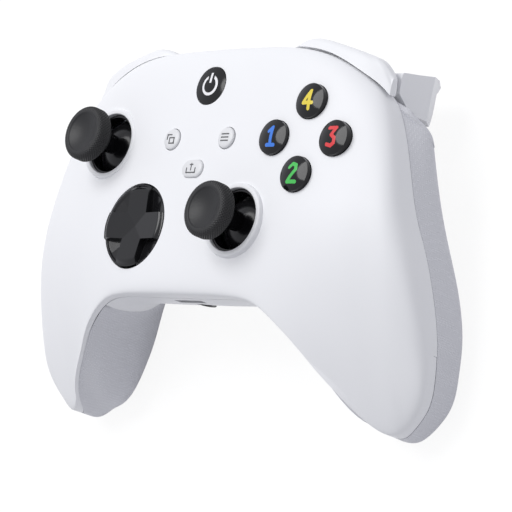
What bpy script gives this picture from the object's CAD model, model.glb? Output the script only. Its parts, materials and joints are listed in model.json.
import json
import math
import bpy
import bmesh
import numpy as np
from mathutils import Matrix, Vector


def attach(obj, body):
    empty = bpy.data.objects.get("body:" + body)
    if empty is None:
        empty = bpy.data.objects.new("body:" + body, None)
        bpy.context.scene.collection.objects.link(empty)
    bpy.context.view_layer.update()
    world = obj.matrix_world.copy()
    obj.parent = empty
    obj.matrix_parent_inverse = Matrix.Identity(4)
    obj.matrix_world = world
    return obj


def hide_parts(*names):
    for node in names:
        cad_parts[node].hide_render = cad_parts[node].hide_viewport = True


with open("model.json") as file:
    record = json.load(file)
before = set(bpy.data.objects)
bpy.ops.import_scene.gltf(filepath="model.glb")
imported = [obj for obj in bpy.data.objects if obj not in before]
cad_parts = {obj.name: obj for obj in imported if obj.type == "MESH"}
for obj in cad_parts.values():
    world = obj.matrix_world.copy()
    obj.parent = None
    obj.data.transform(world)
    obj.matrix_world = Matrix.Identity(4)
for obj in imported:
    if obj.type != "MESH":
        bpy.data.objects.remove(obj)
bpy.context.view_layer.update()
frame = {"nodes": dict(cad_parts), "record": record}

# Lengths are in millimetres. Places given from the line through the sticks get LINE_Y added to y.
MM = 0.001
LINE_Y = 6.0
NODES = frame["nodes"]

# Camera: millimetres, from the photograph's perspective
EYE = (509.2, -154.6, 501.0)
AHEAD = Vector((-0.7100, 0.1897, -0.6782)).normalized()
RIGHT = Vector((0.7041, 0.2041, -0.6801))
RIGHT = (RIGHT - AHEAD * RIGHT.dot(AHEAD)).normalized()
UP = RIGHT.cross(AHEAD)
FOCAL_MM = 176.9
SENSOR_MM = 36.0
CLIP_NEAR, CLIP_FAR = 0.01, 20.0


def make_camera():
    data = bpy.data.cameras.new("camera")
    data.lens = FOCAL_MM
    data.sensor_width = SENSOR_MM
    data.clip_start = CLIP_NEAR
    data.clip_end = CLIP_FAR
    cam = bpy.data.objects.new("camera", data)
    turn = Matrix((RIGHT, UP, -AHEAD)).transposed().to_4x4()
    cam.matrix_world = Matrix.Translation(Vector(EYE) * MM) @ turn
    bpy.context.collection.objects.link(cam)
    bpy.context.scene.camera = cam


make_camera()

# Materials

CLOUD_SCALE = 60.0
GLOSS_DRIFT = 0.08
COAT_ROUGH = 0.05
GRAIN_DEPTH = 0.2
DOT_DEPTH = 0.15
DOT_STRENGTH = 0.5
DOT_JITTER = 0.15
DOT_TOP, DOT_FOOT = 0.22, 0.5
DOT_GAP_SHADE = 0.9


def nodes_of(name):
    mat = bpy.data.materials.new(name)
    mat.use_nodes = True
    tree = mat.node_tree
    return mat, tree, tree.nodes["Principled BSDF"]


def place_coords(tree, scale):
    coords = tree.nodes.new("ShaderNodeTexCoord")
    mapping = tree.nodes.new("ShaderNodeMapping")
    mapping.inputs["Scale"].default_value = (scale, scale, scale)
    tree.links.new(coords.outputs["Object"], mapping.inputs["Vector"])
    return mapping.outputs["Vector"]


def plastic(name, color, rough, grain_scale=900.0, grain=0.02, variation=0.02, coat=0.0,
            specular=0.5):
    """Moulded plastic: fine grain in the bump, slight drift in colour and gloss."""
    mat, tree, shader = nodes_of(name)
    shader.inputs["Specular IOR Level"].default_value = specular
    if coat:
        shader.inputs["Coat Weight"].default_value = coat
        shader.inputs["Coat Roughness"].default_value = COAT_ROUGH
    where = place_coords(tree, 1.0)
    cloud = tree.nodes.new("ShaderNodeTexNoise")
    cloud.inputs["Scale"].default_value = CLOUD_SCALE
    tree.links.new(where, cloud.inputs["Vector"])
    ramp = tree.nodes.new("ShaderNodeMapRange")
    ramp.inputs["To Min"].default_value = 1.0 - variation
    ramp.inputs["To Max"].default_value = 1.0
    tree.links.new(cloud.outputs["Fac"], ramp.inputs["Value"])
    tint = tree.nodes.new("ShaderNodeMix")
    tint.data_type = "RGBA"
    tint.blend_type = "MULTIPLY"
    tint.inputs["Factor"].default_value = 1.0
    tint.inputs["A"].default_value = (*color, 1.0)
    tree.links.new(ramp.outputs["Result"], tint.inputs["B"])
    tree.links.new(tint.outputs["Result"], shader.inputs["Base Color"])
    gloss = tree.nodes.new("ShaderNodeMapRange")
    gloss.inputs["To Min"].default_value = rough * (1.0 - GLOSS_DRIFT)
    gloss.inputs["To Max"].default_value = rough * (1.0 + GLOSS_DRIFT)
    tree.links.new(cloud.outputs["Fac"], gloss.inputs["Value"])
    tree.links.new(gloss.outputs["Result"], shader.inputs["Roughness"])
    speck = tree.nodes.new("ShaderNodeTexNoise")
    speck.inputs["Scale"].default_value = grain_scale
    tree.links.new(where, speck.inputs["Vector"])
    bump = tree.nodes.new("ShaderNodeBump")
    bump.inputs["Strength"].default_value = grain
    bump.inputs["Distance"].default_value = GRAIN_DEPTH * MM
    tree.links.new(speck.outputs["Fac"], bump.inputs["Height"])
    tree.links.new(bump.outputs["Normal"], shader.inputs["Normal"])
    return mat


def dotted(name, color, rough, pitch_mm):
    """Grip skin: rows of fine raised dots."""
    mat, tree, shader = nodes_of(name)
    where = place_coords(tree, 1.0 / (MM * pitch_mm))
    cells = tree.nodes.new("ShaderNodeTexVoronoi")
    cells.inputs["Scale"].default_value = 1.0
    cells.inputs["Randomness"].default_value = DOT_JITTER
    tree.links.new(where, cells.inputs["Vector"])
    dot = tree.nodes.new("ShaderNodeMapRange")
    dot.interpolation_type = "SMOOTHSTEP"
    dot.inputs["From Min"].default_value = DOT_TOP
    dot.inputs["From Max"].default_value = DOT_FOOT
    dot.inputs["To Min"].default_value = 1.0
    dot.inputs["To Max"].default_value = 0.0
    tree.links.new(cells.outputs["Distance"], dot.inputs["Value"])
    tint = tree.nodes.new("ShaderNodeMix")
    tint.data_type = "RGBA"
    tint.inputs["A"].default_value = (*[c * DOT_GAP_SHADE for c in color], 1.0)
    tint.inputs["B"].default_value = (*color, 1.0)
    tree.links.new(dot.outputs["Result"], tint.inputs["Factor"])
    tree.links.new(tint.outputs["Result"], shader.inputs["Base Color"])
    shader.inputs["Roughness"].default_value = rough
    bump = tree.nodes.new("ShaderNodeBump")
    bump.inputs["Strength"].default_value = DOT_STRENGTH
    bump.inputs["Distance"].default_value = DOT_DEPTH * MM
    tree.links.new(dot.outputs["Result"], bump.inputs["Height"])
    tree.links.new(bump.outputs["Normal"], shader.inputs["Normal"])
    return mat


def metal(name, color, rough):
    mat = plastic(name, color, rough, grain_scale=1500.0, grain=0.03, variation=0.08)
    mat.node_tree.nodes["Principled BSDF"].inputs["Metallic"].default_value = 1.0
    return mat


WHITE = plastic("white_plastic", (0.86, 0.865, 0.885), 0.45, grain=0.03, specular=0.4)
WHITE_IN = plastic("white_button", (0.74, 0.745, 0.76), 0.4, grain=0.03)
PANEL = dotted("grip_skin", (0.74, 0.745, 0.785), 0.6, 0.62)
BLACK_GLOSS = plastic("black_gloss", (0.006, 0.006, 0.007), 0.1, grain=0.0, variation=0.1,
                      specular=0.3)
BLACK_DOME = plastic("black_dome", (0.007, 0.007, 0.008), 0.2, grain=0.01, variation=0.1,
                     specular=0.3)
BLACK_PAD = plastic("black_pad", (0.007, 0.007, 0.008), 0.16, grain=0.0, variation=0.1,
                    specular=0.35)
BLACK_MATTE = plastic("black_rubber", (0.009, 0.009, 0.010), 0.45, grain_scale=1400.0, grain=0.2,
                      variation=0.15, specular=0.35)
ICON = plastic("icon_grey", (0.09, 0.09, 0.095), 0.5)
MARK_WHITE = plastic("mark_white", (0.85, 0.85, 0.87), 0.35)
YELLOW = plastic("sign_yellow", (0.78, 0.62, 0.03), 0.25, coat=0.6)
BLUE = plastic("sign_blue", (0.01, 0.17, 0.72), 0.25, coat=0.6)
RED = plastic("sign_red", (0.72, 0.015, 0.02), 0.25, coat=0.6)
GREEN = plastic("sign_green", (0.03, 0.50, 0.06), 0.25, coat=0.6)
BOARD = plastic("board_green", (0.02, 0.12, 0.05), 0.4, grain=0.1, variation=0.2)
STEEL = metal("steel", (0.6, 0.6, 0.62), 0.3)
RUBBER = plastic("pale_rubber", (0.4, 0.4, 0.42), 0.6, grain=0.1)
CELL = plastic("cell_skin", (0.10, 0.11, 0.14), 0.3, variation=0.15)
DARK = plastic("dark_plastic", (0.03, 0.03, 0.033), 0.5, grain=0.1)

BY_SLOT = {
    "white_shell": WHITE, "grey_panel": PANEL, "grey_button": WHITE_IN, "dark_frame": DARK,
    "black_gloss": BLACK_GLOSS, "black_matte": BLACK_MATTE, "steel": STEEL, "board": BOARD,
    "yellow_sign": YELLOW, "blue_sign": BLUE, "red_sign": RED, "green_sign": GREEN,
    "soft_rubber": RUBBER, "cell_skin": CELL,
}
BY_NODE = {
    "guide_button": BLACK_GLOSS, "guide_mark": MARK_WHITE, "left_stick_dome": BLACK_DOME,
    "right_stick_dome": BLACK_DOME,
}


def dress_nodes():
    """Gives each CAD node the material of its slot, or its own where BY_NODE names one."""
    slots = {part["node"]: part["material_slot"] for part in frame["record"]["subparts"]}
    for name, obj in NODES.items():
        mat = BY_NODE.get(name, BY_SLOT[slots[name]])
        if not obj.material_slots:
            obj.data.materials.append(mat)
        for slot in obj.material_slots:
            slot.material = mat


dress_nodes()

# Surfaces


def spline(knots, values, x):
    """Natural cubic spline through (knots, values), read at x."""
    knots, values = np.asarray(knots, float), np.asarray(values, float)
    n = len(knots)
    h = np.diff(knots)
    a = np.eye(n)
    b = np.zeros(n)
    for i in range(1, n - 1):
        a[i, i - 1:i + 2] = h[i - 1], 2 * (h[i - 1] + h[i]), h[i]
        b[i] = 6 * ((values[i + 1] - values[i]) / h[i] - (values[i] - values[i - 1]) / h[i - 1])
    m = np.linalg.solve(a, b)
    k = np.clip(np.searchsorted(knots, x) - 1, 0, n - 2)
    d = x - knots[k]
    e = knots[k + 1] - x
    return (m[k] * e**3 + m[k + 1] * d**3) / (6 * h[k]) + (values[k] / h[k] - m[k] * h[k] / 6) * e + (
        values[k + 1] / h[k] - m[k + 1] * h[k] / 6) * d


def rise(low, high, value):
    """Smooth step from 0 at low to 1 at high: 3 share^2 - 2 share^3."""
    share = np.clip((value - low) / (high - low), 0, 1)
    return share * share * (3 - 2 * share)


# Sizes: half the width, the top edge and the grips' reach from the stick line, the seam's height
HALF = 76.5
TOP, REACH, SEAM = 28.3, 73.2, 38.6
LIP = 1.5
SLIT = 0.25
FINE_SLIT = 0.16
WALL = 2.2
FACE_Z, CROWN, CROWN_WIDE = 44.4, 0.8, 22.0
SHOULDER_DROP = 5.9
FALL_DROP, FALL_FROM, FALL_IN, FALL_OUT = 24.9, 16.0, 8.0, 58.0
GRIP_IN, GRIP_OUT = 26.0, 54.0
MIDDLE_Z, MIDDLE_BOW, MIDDLE_Y = 7.5, 6.0, -6.0
PALM_Z, PALM_RISE, PALM_LOW, PALM_HIGH = -0.3, 18.0, -52.0, 10.0
BULGE, BULGE_X, BULGE_WIDE = 9.0, 49.0, 7.5
FRONT_SIDE_POWER, BACK_SIDE_POWER = 3.8, 6.0
FRONT_TOP_POWER = 4.0
THINNEST = 0.05
EDGE_SHARE = 0.05
MERGE, FINE_MERGE, PRISM_MERGE = 0.002, 0.0005, 0.0001
SHARP_ANGLE = 35.0

# Stations from the middle to the side, as shares: x, top y, low y, seam height at the top and below
STATIONS = np.array([
    (0.000, 1.000, 0.598, 1.000, 1.000), (0.170, 0.996, 0.598, 1.000, 1.000),
    (0.314, 0.982, 0.600, 0.997, 1.000), (0.392, 0.958, 0.617, 0.990, 0.992),
    (0.470, 0.919, 0.667, 0.969, 0.948), (0.549, 0.855, 0.738, 0.933, 0.863),
    (0.627, 0.763, 0.824, 0.886, 0.741), (0.693, 0.657, 0.892, 0.834, 0.624),
    (0.752, 0.516, 0.955, 0.795, 0.477), (0.804, 0.283, 0.992, 0.775, 0.321),
    (0.850, -0.053, 0.997, 0.751, 0.264), (0.895, -0.495, 0.970, 0.699, 0.275),
    (0.941, -0.890, 0.923, 0.611, 0.301), (0.975, -1.258, 0.873, 0.528, 0.332),
    (0.996, -1.625, 0.792, 0.451, 0.378), (1.000, -1.830, 0.710, 0.415, 0.415),
])
TURN = np.arcsin(STATIONS[:, 0])
CORNER_FLARE = 13.0
FLARES = CORNER_FLARE * np.array([0, 0, 0, 0, 0, 0, 0, 0.1, 0.35, 0.72, 1, 0.62, 0.25, 0.05, 0, 0])
# The slanted edge beside the trigger: (y, z) at its upper and lower end
SLANT = np.array([(18.0, 35.0), (6.5, 21.0)])
SLANT_WALL = 1.6
SLANT_IN = 53.0
SLAB_MARGIN, SLAB_PAST_IN = 0.4, 3.0
PLAN_LOW, ROOM_LOW = -20, -8.0
ROOM_PAST_TOP, ROOM_PAST_SIDE = 8.0, 5.0


def stations_at(a):
    """Top y, low y and both seam heights at the turn a, where x = HALF sin a."""
    knots = np.concatenate([-TURN[:0:-1], TURN])
    out = []
    for col, size in ((1, TOP), (2, -REACH), (3, SEAM), (4, SEAM)):
        values = np.concatenate([STATIONS[:0:-1, col], STATIONS[:, col]]) * size
        out.append(spline(knots, values, a))
    return out


def face_z(x, y):
    """Face height: a crown in the middle, shoulders that drop with x^2, grips that fall with y^2."""
    crown = CROWN * np.exp(-((x / CROWN_WIDE) ** 2))
    shoulder = SHOULDER_DROP * (np.maximum(x - CROWN_WIDE, 0) / (HALF - CROWN_WIDE)) ** 2
    fall = np.maximum(-FALL_FROM - y, 0) / (REACH - FALL_FROM)
    return FACE_Z + crown - shoulder - rise(FALL_IN, FALL_OUT, x) * FALL_DROP * fall**2


def back_z(x, y):
    """Back height: a bowed middle, blended into the palms of the grips."""
    grip = rise(GRIP_IN, GRIP_OUT, x)
    middle = MIDDLE_Z + MIDDLE_BOW * ((y - MIDDLE_Y) / (REACH / 2)) ** 2
    palm = PALM_Z + PALM_RISE * rise(PALM_LOW, PALM_HIGH, y)
    return middle * (1 - grip) + palm * grip


def front_low_power(s):
    """Roundness of the front's lower edge: 5 in the middle, 14 by the grips, 4 at the tips."""
    return 5 + 9 * rise(30, 45, s) - 10 * rise(60, 70, s)


def round_off(share, power):
    """One in the middle and zero at the edge: (1 - |share|^power)^(1 / power)."""
    return np.maximum(1 - np.abs(share) ** power, 0) ** (1 / power)


def spread(count):
    """Shares from -1 to 1, closer together at the ends."""
    t = np.linspace(-math.pi / 2, math.pi / 2, count)
    return np.sin(t) * (1 - EDGE_SHARE) + EDGE_SHARE * t / (math.pi / 2)


def rows_at(count, inset):
    """Turns from left to right, with x, its distance from the middle, both edges and seam heights."""
    a = np.linspace(-math.pi / 2, math.pi / 2, count)
    top, low, seam_top, seam_low = stations_at(a)
    x = (HALF - inset) * np.sin(a)
    return a, x, np.abs(x), top - inset, low + inset, seam_top, seam_low


def front_grid(count_x, count_y, inset=0.0):
    """Front half: rows of constant turn a, and across them y from the top edge to the bottom edge.

    z = seam + lip + (face - seam - lip) * round_off(share, p) * side, with p 4 above and 4 to 14 below.
    """
    a, x, s, top, low, seam_top, seam_low = rows_at(count_x, inset)
    share = spread(count_y)[None, :]
    mid, half = ((top + low) / 2)[:, None], (np.maximum(top - low, 0) / 2)[:, None]
    y = mid + half * share
    f = (share + 1) / 2
    seam = seam_low[:, None] + (seam_top - seam_low)[:, None] * f
    power = np.where(share < 0, front_low_power(s)[:, None], FRONT_TOP_POWER)
    lift = np.maximum(face_z(s[:, None], y) - inset - seam - LIP, THINNEST)
    side = round_off(np.abs(np.sin(a)), FRONT_SIDE_POWER)[:, None]
    z = seam + LIP + lift * round_off(share, power) * side
    grid = np.stack([np.broadcast_to(x[:, None], y.shape), y + LINE_Y, z], -1)
    low_lip = np.stack([x, low + LINE_Y, seam_low + SLIT], -1)[:, None]
    top_lip = np.stack([x, top + LINE_Y, seam_top + FINE_SLIT], -1)[:, None]
    return np.concatenate([low_lip, grid, top_lip], 1)


def back_grid(count_x, count_y, inset=0.0):
    """Back half: the seam line, hung down to the back's height by the same kind of profile.

    y is stretched past the edge by stretch * share: below by the bulge under the grips, above by the
    flare at the upper corners.
    """
    a, x, s, top, low, seam_top, seam_low = rows_at(count_x, inset)
    share = spread(count_y)[None, :]
    low_power = (3 + 2.6 * rise(34, 60, s))[:, None]
    top_power = (3 + 0.6 * rise(34, 60, s))[:, None]
    depth = np.where(share < 0, round_off(share, low_power), round_off(share, top_power))
    bulge = BULGE * np.exp(-(((s - BULGE_X) / BULGE_WIDE) ** 2))[:, None]
    knots = np.concatenate([-TURN[:0:-1], TURN])
    flare = spline(knots, np.concatenate([FLARES[:0:-1], FLARES]), a)[:, None]
    stretch = np.where(share < 0, bulge, np.maximum(flare, 0)) * np.sin(math.pi / 2 * depth)
    mid, half = ((top + low) / 2)[:, None], (np.maximum(top - low, 0) / 2)[:, None]
    y = mid + (half + stretch) * share
    held = np.clip(y, low[:, None], top[:, None])
    f = np.clip((held - low[:, None]) / np.maximum(top - low, 0.01)[:, None], 0, 1)
    seam = seam_low[:, None] + (seam_top - seam_low)[:, None] * f
    side = round_off(np.abs(np.sin(a)), BACK_SIDE_POWER)[:, None]
    hang = np.maximum(seam - back_z(s[:, None], y) - inset, 0)
    z = seam - hang * depth * side
    return np.stack([np.broadcast_to(x[:, None], y.shape), y + LINE_Y, z], -1)


def grid_faces(rows, cols, start=0, flip=False):
    i = np.arange(rows - 1)[:, None] * cols + np.arange(cols - 1)[None, :] + start
    quads = np.stack([i, i + 1, i + cols + 1, i + cols], -1).reshape(-1, 4)
    return quads[:, ::-1] if flip else quads


def new_mesh(name, verts, faces, mat, merge=0.0, angle=SHARP_ANGLE):
    """Smooth-shaded mesh object, with points closer than merge made one."""
    mesh = bpy.data.meshes.new(name)
    mesh.from_pydata((np.asarray(verts, float) * MM).tolist(), [], [list(map(int, f)) for f in faces])
    if merge:
        work = bmesh.new()
        work.from_mesh(mesh)
        bmesh.ops.remove_doubles(work, verts=work.verts, dist=merge * MM)
        bmesh.ops.dissolve_degenerate(work, dist=merge * MM, edges=work.edges)
        bmesh.ops.recalc_face_normals(work, faces=work.faces)
        work.to_mesh(mesh)
        work.free()
    mesh.materials.append(mat)
    mesh.shade_smooth()
    mesh.set_sharp_from_angle(angle=math.radians(angle))
    obj = bpy.data.objects.new(name, mesh)
    bpy.context.collection.objects.link(obj)
    return obj


def closed_shell(name, outer, inner, mat):
    """Outer and inner grids of one shape, joined along their open edges."""
    rows, cols = outer.shape[:2]
    verts = np.concatenate([outer.reshape(-1, 3), inner.reshape(-1, 3)])
    count = rows * cols
    faces = [grid_faces(rows, cols), grid_faces(rows, cols, count, True)]
    for col in (0, cols - 1):
        i = np.arange(rows - 1) * cols + col
        band = np.stack([i, i + cols, i + cols + count, i + count], -1)
        faces.append(band if col == 0 else band[:, ::-1])
    for row in (0, rows - 1):
        i = np.arange(cols - 1) + row * cols
        band = np.stack([i, i + 1, i + 1 + count, i + count], -1)
        faces.append(band[:, ::-1] if row == 0 else band)
    return new_mesh(name, verts, np.concatenate(faces), mat, merge=MERGE)


def prism(name, outline, low, high):
    """Upright prism over an outline, for cutting."""
    outline = np.asarray(outline, float)
    n = len(outline)
    base = np.c_[outline, np.full(n, low)]
    lid = np.c_[outline, np.full(n, high)]
    sides = [[i, (i + 1) % n, n + (i + 1) % n, n + i] for i in range(n)]
    return new_mesh(name, np.r_[base, lid], [list(range(n))[::-1], list(range(n, 2 * n))] + sides, WHITE,
                    merge=PRISM_MERGE)


def ring_line(x, y, radius, count=128):
    t = np.arange(count) * 2 * math.pi / count
    return np.c_[x + radius * np.cos(t), y + LINE_Y + radius * np.sin(t)]


def stadium(x, y, length, width, count=24):
    r = width / 2
    d = length / 2 - r
    t = np.linspace(-math.pi / 2, math.pi / 2, count)
    right = np.c_[x + d + r * np.cos(t), y + LINE_Y + r * np.sin(t)]
    left = np.c_[x - d - r * np.cos(t), y + LINE_Y - r * np.sin(t)]
    return np.r_[right, left]


def cut(obj, tools, how="DIFFERENCE"):
    """Applies a cut by each tool, then removes the tools."""
    for tool in tools:
        mod = obj.modifiers.new("cut", "BOOLEAN")
        mod.operation = how
        mod.solver = "EXACT"
        mod.object = tool
    deps = bpy.context.evaluated_depsgraph_get()
    mesh = bpy.data.meshes.new_from_object(obj.evaluated_get(deps))
    obj.modifiers.clear()
    old = obj.data
    obj.data = mesh
    bpy.data.meshes.remove(old)
    for tool in tools:
        data = tool.data
        bpy.data.objects.remove(tool)
        bpy.data.meshes.remove(data)
    mesh.shade_smooth()
    mesh.set_sharp_from_angle(angle=math.radians(SHARP_ANGLE))
    return obj


# Places from the stick line, and the radii of the holes in the face
STICKS = {"left": (-38.6, 0.4), "right": (19.8, -22.9)}
PAD = (-19.9, -24.5)
CLUSTER = (39.1, 0.4)
OFFSET = 10.3
GUIDE = (-0.4, 16.3)
VIEW, MENU, SHARE = (-11.2, 0.7), (10.7, 0.6), (0.0, -8.2)
BUTTONS = {
    "top": (CLUSTER[0], CLUSTER[1] + OFFSET), "left": (CLUSTER[0] - OFFSET, CLUSTER[1]),
    "right": (CLUSTER[0] + OFFSET, CLUSTER[1]), "bottom": (CLUSTER[0], CLUSTER[1] - OFFSET),
}
WELL_RADIUS, PAD_WELL_RADIUS = 9.0, 12.5
GUIDE_RADIUS, SMALL_RADIUS, BUTTON_RADIUS = 5.75, 3.25, 5.1
SHARE_LONG, SHARE_WIDE = 8.3, 5.3
TOOL_LOW, TOOL_HIGH = 30, 60
FINE = 2
GRID_X, GRID_Y = 110, 64


def surface_z(x, y):
    """Height of the finished face."""
    a = np.arcsin(x / HALF)
    top, low, seam_top, seam_low = stations_at(a)
    share = (2 * y - top - low) / (top - low)
    seam = seam_low + (seam_top - seam_low) * (share + 1) / 2
    s = np.abs(x)
    power = np.where(share < 0, front_low_power(s), FRONT_TOP_POWER)
    lift = face_z(s, y) - seam - LIP
    return seam + LIP + lift * round_off(share, power) * round_off(s / HALF, FRONT_SIDE_POWER)


def make_front():
    """White face with its holes for the sticks, the pad and the buttons."""
    outer = front_grid(GRID_X * FINE, GRID_Y * FINE)
    inner = front_grid(GRID_X * FINE, GRID_Y * FINE, WALL)
    front = closed_shell("face_shell", outer, inner, WHITE)
    holes = [(STICKS["left"], WELL_RADIUS), (STICKS["right"], WELL_RADIUS), (PAD, PAD_WELL_RADIUS),
             (GUIDE, GUIDE_RADIUS), (VIEW, SMALL_RADIUS), (MENU, SMALL_RADIUS)]
    holes += [(place, BUTTON_RADIUS) for place in BUTTONS.values()]
    tools = [prism("tool", ring_line(*p, r), TOOL_LOW, TOOL_HIGH) for p, r in holes]
    tools.append(prism("tool", stadium(*SHARE, SHARE_LONG, SHARE_WIDE), TOOL_LOW, TOOL_HIGH))
    cut(front, tools)
    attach(front, "controller")
    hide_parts("front_shell")


def sideways(name, outline, low, high):
    """Prism along X over an outline of (y, z), for cutting."""
    outline = np.asarray(outline, float)
    n = len(outline)
    ends = [np.c_[np.full(n, x), outline[:, 0] + LINE_Y, outline[:, 1]] for x in (low, high)]
    sides = [[i, (i + 1) % n, n + (i + 1) % n, n + i] for i in range(n)]
    return new_mesh(name, np.concatenate(ends), [list(range(n))[::-1], list(range(n, 2 * n))] + sides, WHITE,
                    merge=PRISM_MERGE)


def twin(name, obj, flip=False):
    """Copy of a mesh with its doubles merged, mirrored across X = 0 when flip is set."""
    mesh = obj.data.copy()
    work = bmesh.new()
    work.from_mesh(mesh)
    bmesh.ops.remove_doubles(work, verts=work.verts, dist=MERGE * MM)
    bmesh.ops.dissolve_degenerate(work, dist=MERGE * MM, edges=work.edges)
    if flip:
        bmesh.ops.scale(work, vec=(-1, 1, 1), verts=work.verts)
        bmesh.ops.reverse_faces(work, faces=work.faces)
    work.to_mesh(mesh)
    work.free()
    mesh.materials.clear()
    mesh.materials.append(PANEL)
    copy = bpy.data.objects.new(name, mesh)
    bpy.context.collection.objects.link(copy)
    return copy


def make_panels():
    """Grip skins: the back surface inside each panel's plan, less the room beside the trigger.

    The wall that closes the skin under the slanted edge is the CAD panel's own.
    """
    plan_shares = np.array([(0.42, -1.30), (0.42, -0.62), (0.56, -0.06), (0.69, 0.10), (0.69, 0.45),
                            (1.20, 0.45), (1.20, -1.30)])
    plan = plan_shares * (HALF, REACH) + (0, LINE_Y)
    skin = closed_shell("right_grip_skin", back_grid(GRID_X * FINE, GRID_Y * FINE),
                        back_grid(GRID_X * FINE, GRID_Y * FINE, WALL), PANEL)
    cut(skin, [prism("tool", plan, PLAN_LOW, TOOL_HIGH)], "INTERSECT")
    (high_y, high_z), (low_y, low_z) = SLANT
    far = TOP + ROOM_PAST_TOP
    room = [(high_y, high_z), (low_y, low_z), (low_y, ROOM_LOW), (far, ROOM_LOW), (far, high_z)]
    cut(skin, [sideways("tool", room, SLANT_IN, HALF + ROOM_PAST_SIDE)])
    inner = closed_shell("tool", back_grid(GRID_X, GRID_Y), back_grid(GRID_X, GRID_Y, WALL), PANEL)
    inside = twin("tool", NODES["right_grip_panel"])
    back = SLANT_WALL + SLAB_MARGIN
    slab = [(high_y, high_z), (low_y, low_z), (low_y, ROOM_LOW), (low_y - back, ROOM_LOW),
            (low_y - back, low_z), (high_y - back, high_z)]
    cut(inside, [sideways("tool", slab, SLANT_IN - SLAB_PAST_IN, HALF)], "INTERSECT")
    cut(inside, [inner])
    work = bmesh.new()
    work.from_mesh(skin.data)
    work.from_mesh(inside.data)
    work.to_mesh(skin.data)
    work.free()
    skin.data.shade_smooth()
    skin.data.set_sharp_from_angle(angle=math.radians(SHARP_ANGLE))
    bpy.data.objects.remove(inside)
    for side, panel in (("right", skin), ("left", twin("left_grip_skin", skin, True))):
        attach(panel, "controller")
        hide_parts(side + "_grip_panel")


def revolved(name, profile, place, mat, count=96, bump=None, angle=40.0):
    """Surface turned about an upright axis: profile rows of (radius, height); bump adds to both."""
    profile = np.asarray(profile, float)
    t = np.arange(count) * 2 * math.pi / count
    r = np.broadcast_to(profile[:, 0:1], (len(profile), count)).copy()
    z = np.broadcast_to(profile[:, 1:2], (len(profile), count)).copy()
    if bump is not None:
        dr, dz = bump(r, z, t[None, :])
        r, z = r + dr, z + dz
    verts = np.stack([place[0] + r * np.cos(t), place[1] + LINE_Y + r * np.sin(t), z], -1)
    n = len(profile)
    i = np.arange(n - 1)[:, None] * count + np.arange(count)[None, :]
    j = np.arange(n - 1)[:, None] * count + (np.arange(count)[None, :] + 1) % count
    quads = np.stack([i, j, j + count, i + count], -1).reshape(-1, 4)
    return new_mesh(name, verts.reshape(-1, 3), quads, mat, merge=FINE_MERGE, angle=angle)


def arc(cx, cz, radius, start, end, count):
    """Profile points on an arc, from start to end in degrees."""
    t = np.radians(np.linspace(start, end, count))
    return np.c_[cx + radius * np.cos(t), cz + radius * np.sin(t)]


def make_collars():
    """Raised white rim round each stick opening, a rounded band."""
    for name, place in STICKS.items():
        face = float(surface_z(*place))
        profile = np.r_[[(9.0, face - 1.8)], arc(9.35, face + 0.55, 0.35, 180, 90, 6),
                        arc(9.9, face + 0.3, 0.6, 90, 10, 8), [(10.7, face - 0.25), (10.9, face - 1.8)]]
        ring = revolved(name + "_collar", profile, place, WHITE, 160)
        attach(ring, "controller")


def make_caps():
    """Stick caps: a ridged rim that rolls over onto the top, a crisp inner edge and a concave dish."""
    for name, place in STICKS.items():
        face = float(surface_z(*place))
        low = face + 6.6
        high = low + 5.2
        wide = 8.0
        dish = 5.7
        ball = (dish**2 + 1.3**2) / (2 * 1.3)
        dish_r = np.linspace(dish, 0.0, 28)
        bowl = np.c_[dish_r, high - 0.25 - 1.3 + ball - np.sqrt(ball**2 - dish_r**2)]
        under = np.r_[[(2.8, low - 1.6)], [(4.6, low - 1.6)], arc(4.9, low - 1.2, 0.4, -80, 0, 5),
                      [(5.6, low + 0.6)], [(7.0, low + 0.9)]]
        roll = 1.5
        rim = np.r_[arc(wide - 0.7, low + 1.6, 0.7, -90, 0, 10),
                    np.c_[np.full(26, wide), np.linspace(low + 1.7, high - roll, 26)],
                    arc(wide - roll, high - roll, roll, 0, 90, 22)]
        edge = np.array([(dish + 0.35, high), (dish + 0.12, high - 0.05), (dish, high - 0.25)])
        profile = np.r_[under, rim, edge, bowl]
        first, last = len(under), len(under) + len(rim)
        gone = np.concatenate([[0], np.cumsum(np.hypot(*np.diff(rim, axis=0).T))])
        along = np.zeros(len(profile))
        along[first:last] = gone
        inside = np.zeros(len(profile))
        inside[first:last] = rise(0.0, 0.5, gone) * (1 - rise(gone[-1] - 0.35, gone[-1], gone))

        def ridges(r, z, t):
            path = along[:, None] / wide * 56
            wave = np.maximum(np.cos(56 * t + path), np.cos(56 * t - path))
            depth = -0.22 * inside[:, None] * (0.5 - 0.5 * wave)
            return depth, 0.35 * depth

        cap = revolved(name + "_thumb_cap", profile, place, BLACK_MATTE, 896, ridges, 60.0)
        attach(cap, name + "_stick")
        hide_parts(name + "_stick_cap")


def make_domes():
    """Glossy ball and neck under each cap."""
    pivot, ball_radius, foot_radius, neck_radius = 32.4, 11.0, 9.95, 2.8
    rim_angle, neck_angle = 36, 76
    for name, place in STICKS.items():
        face = float(surface_z(*place))
        ball = arc(0, pivot, ball_radius, rim_angle, neck_angle, 40)
        neck = [(neck_radius, pivot + 10.7), (neck_radius, face + 6.0)]
        foot = arc(0, pivot, foot_radius, rim_angle, rim_angle, 1)
        profile = np.r_[foot, ball, neck]
        dome = revolved(name + "_ball", profile, place, BLACK_DOME, 192, None, 30.0)
        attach(dome, name + "_stick")
        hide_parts(name + "_stick_dome")


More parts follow.
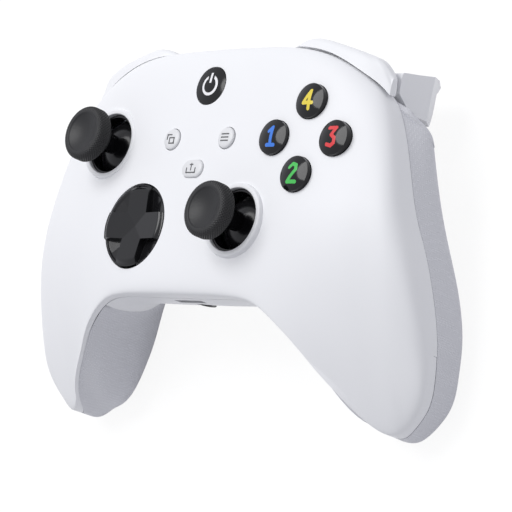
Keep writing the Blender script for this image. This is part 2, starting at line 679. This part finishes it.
def make_pad():
    """Directional pad: a dished disc whose quarters slope as flat facets, with a raised cross.

    Arm height grows outward by 0.125 of the larger of |x| and |y|, and rolls down near the rim. Between
    the arms the height is 0.16 (|x| + |y| - 8) + 0.05 ||x| - |y||, no higher than just below the rim.
    """
    face = float(surface_z(*PAD))
    rim = face - 0.2
    radius = 12.05
    arm_in, arm_out = 3.8, 4.25
    drop = 0.25
    depth = 3.0
    count = 128
    edges = np.linspace(arm_in, arm_out, 4)
    step = np.unique(np.round(np.r_[np.linspace(-radius, radius, 161), -edges, edges], 4))
    x, y = np.meshgrid(step, step, indexing="ij")
    r = np.hypot(x, y)
    scale = np.where(r > radius, radius / np.maximum(r, 1e-6), 1.0)
    x, y = x * scale, y * scale
    r = np.hypot(x, y)
    ax, ay = np.abs(x), np.abs(y)
    cross = 1 - rise(arm_in, arm_out, np.minimum(ax, ay))
    arm = rim - 0.15 + 0.125 * np.maximum(ax, ay) - 0.9 * rise(10.0, 11.9, r) ** 1.5
    facet = rim - 2.0 + 0.16 * np.maximum(ax + ay - 8.0, 0) + 0.05 * np.abs(ax - ay)
    facet = np.minimum(facet, rim - 0.2)
    band = rise(11.2, 11.6, r)
    floor = facet * (1 - band) + (rim - drop) * band
    z = floor + (np.maximum(arm, floor) - floor) * cross
    n = len(step)
    verts = np.stack([PAD[0] + x, PAD[1] + LINE_Y + y, z], -1).reshape(-1, 3)
    faces = grid_faces(n, n).tolist()
    start = len(verts)
    upper = np.c_[ring_line(*PAD, radius, count), np.full(count, rim - drop)]
    lower = upper - (0, 0, depth)
    verts = np.r_[verts, upper, lower]
    for i in range(count):
        k = (i + 1) % count
        faces.append([start + i, start + count + i, start + count + k, start + k])
    pad = new_mesh("pad_disc", verts, faces, BLACK_PAD, merge=FINE_MERGE, angle=12.0)
    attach(pad, "pad")
    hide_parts("pad_cap")


def make_small_buttons():
    """Small buttons as pillows, proud * round_off(q, 3.6) high over the share q of their outline."""
    gap = 0.2
    proud, sunk, foot = 1.0, 0.1, 1.6
    round_line = ring_line(0, -LINE_Y, SMALL_RADIUS - gap, 96)
    long_line = stadium(0, -LINE_Y, SHARE_LONG - gap, SHARE_WIDE - gap, 48)
    lines = {"view": (VIEW, round_line), "menu": (MENU, round_line), "share": (SHARE, long_line)}
    for name, (place, line) in lines.items():
        face = float(surface_z(*place))
        count = len(line)
        share = np.sin(np.linspace(0.04, math.pi / 2, 26))
        height = face - sunk + proud * round_off(share, 3.6)
        share, height = np.r_[share, 1.0], np.r_[height, face - foot]
        flat = line[None] * share[:, None, None] + (place[0], place[1] + LINE_Y)
        tall = np.broadcast_to(height[:, None, None], (len(share), count, 1))
        verts = np.concatenate([flat, tall], -1)
        i = np.arange(len(share) - 1)[:, None] * count + np.arange(count)[None, :]
        j = np.arange(len(share) - 1)[:, None] * count + (np.arange(count)[None, :] + 1) % count
        quads = np.stack([i, i + count, j + count, j], -1).reshape(-1, 4).tolist()
        faces = quads + [list(range(count))]
        button = new_mesh(name + "_pillow", verts.reshape(-1, 3), faces, WHITE_IN, FINE_MERGE, 50)
        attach(button, name + "_button")
        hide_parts(name + "_button")


def make_icons():
    """Thin raised signs on the small buttons: lines, two sheets, and an arrow over a tray."""
    top, sunk, proud = 0.9, 0.35, 0.04

    def bar(x, y, w, h, z):
        return [(x - w / 2, y - h / 2, z), (x + w / 2, y - h / 2, z), (x + w / 2, y + h / 2, z),
                (x - w / 2, y + h / 2, z)]

    def build(name, bars, place, body):
        z = float(surface_z(*place)) + top
        verts, faces = [], []
        for x, y, w, h in bars:
            n = len(verts)
            verts += bar(place[0] + x, place[1] + LINE_Y + y, w, h, z - sunk)
            verts += bar(place[0] + x, place[1] + LINE_Y + y, w, h, z + proud)
            faces += [[n + 4, n + 5, n + 6, n + 7], [n, n + 1, n + 5, n + 4], [n + 1, n + 2, n + 6, n + 5],
                      [n + 2, n + 3, n + 7, n + 6], [n + 3, n, n + 4, n + 7]]
        obj = new_mesh(name, verts, faces, ICON)
        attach(obj, body)

    wide = 0.34
    rows = [(0, y, 2.9, 0.36) for y in (-0.95, 0, 0.95)]
    sheets = [(0.5, -1.35, 2.1, wide), (0.5, 0.25, 2.1, wide), (-0.38, -0.55, wide, 1.7),
              (1.38, -0.55, wide, 1.7), (-0.6, 1.15, 1.9, wide), (-1.4, 0.5, wide, 1.6)]
    tray = [(0, -1.3, 3.7, wide), (-1.7, -0.6, wide, 1.5), (1.7, -0.6, wide, 1.5)]
    arrow = [(0, 0.35, wide, 2.2), (-0.42, 1.0, 0.5, wide), (0.42, 1.0, 0.5, wide)]
    build("menu_sign", rows, MENU, "menu_button")
    build("view_sign", sheets, VIEW, "view_button")
    build("share_sign", tray + arrow, SHARE, "share_button")


make_front()
make_panels()
make_collars()
make_caps()
make_domes()
make_pad()
make_small_buttons()
make_icons()

# Floor, world and lamps

SKY_LIGHT, SKY_SEEN = 0.47, 1.0
KEY_PLACE, KEY_AIM, KEY_POWER, KEY_SIZE = (-0.15, 0.35, 1.1), (0, 0, 0.02), 9.0, 0.8


def seen_rays(tree):
    """One for camera, glossy and transmission rays, and zero for the rest."""
    path = tree.nodes.new("ShaderNodeLightPath")
    total = path.outputs["Is Camera Ray"]
    for name in ("Is Glossy Ray", "Is Transmission Ray"):
        more = tree.nodes.new("ShaderNodeMath")
        more.operation = "MAXIMUM"
        tree.links.new(total, more.inputs[0])
        tree.links.new(path.outputs[name], more.inputs[1])
        total = more.outputs[0]
    return total


def make_floor():
    """Pale floor just below the piece: plain for the light it sends back, glowing where it is seen."""
    mesh = bpy.data.meshes.new("floor")
    size, low = 6.0, -0.1 * MM
    mesh.from_pydata([(-size, -size, low), (size, -size, low), (size, size, low),
                      (-size, size, low)], [], [[0, 1, 2, 3]])
    obj = bpy.data.objects.new("floor", mesh)
    bpy.context.collection.objects.link(obj)
    mat = bpy.data.materials.new("floor")
    mat.use_nodes = True
    tree = mat.node_tree
    tree.nodes.clear()
    out = tree.nodes.new("ShaderNodeOutputMaterial")
    plain = tree.nodes.new("ShaderNodeBsdfDiffuse")
    plain.inputs["Color"].default_value = (0.82, 0.82, 0.84, 1)
    soft = tree.nodes.new("ShaderNodeBsdfDiffuse")
    soft.inputs["Color"].default_value = (0.15, 0.15, 0.15, 1)
    glow = tree.nodes.new("ShaderNodeEmission")
    glow.inputs["Color"].default_value = (1, 1, 1, 1)
    glow.inputs["Strength"].default_value = 0.9
    both = tree.nodes.new("ShaderNodeAddShader")
    tree.links.new(soft.outputs[0], both.inputs[0])
    tree.links.new(glow.outputs[0], both.inputs[1])
    mix = tree.nodes.new("ShaderNodeMixShader")
    tree.links.new(seen_rays(tree), mix.inputs["Fac"])
    tree.links.new(plain.outputs[0], mix.inputs[1])
    tree.links.new(both.outputs[0], mix.inputs[2])
    tree.links.new(mix.outputs[0], out.inputs["Surface"])
    mesh.materials.append(mat)


def make_world():
    """Even sky: full strength where it is seen or mirrored, half of it as light."""
    world = bpy.data.worlds.new("world")
    bpy.context.scene.world = world
    world.use_nodes = True
    tree = world.node_tree
    back = tree.nodes["Background"]
    back.inputs["Color"].default_value = (0.93, 0.94, 1.0, 1)
    level = tree.nodes.new("ShaderNodeMapRange")
    level.inputs["To Min"].default_value = SKY_LIGHT
    level.inputs["To Max"].default_value = SKY_SEEN
    tree.links.new(seen_rays(tree), level.inputs["Value"])
    tree.links.new(level.outputs["Result"], back.inputs["Strength"])


def lamp(name, place, aim, power, size):
    data = bpy.data.lights.new(name, "AREA")
    data.energy = power
    data.shape = "DISK"
    data.size = size
    obj = bpy.data.objects.new(name, data)
    obj.location = place
    way = Vector(aim) - Vector(place)
    obj.rotation_euler = way.to_track_quat("-Z", "Y").to_euler()
    bpy.context.collection.objects.link(obj)


make_floor()
make_world()
lamp("key", KEY_PLACE, KEY_AIM, KEY_POWER, KEY_SIZE)
bpy.context.scene.view_settings.view_transform = "Standard"
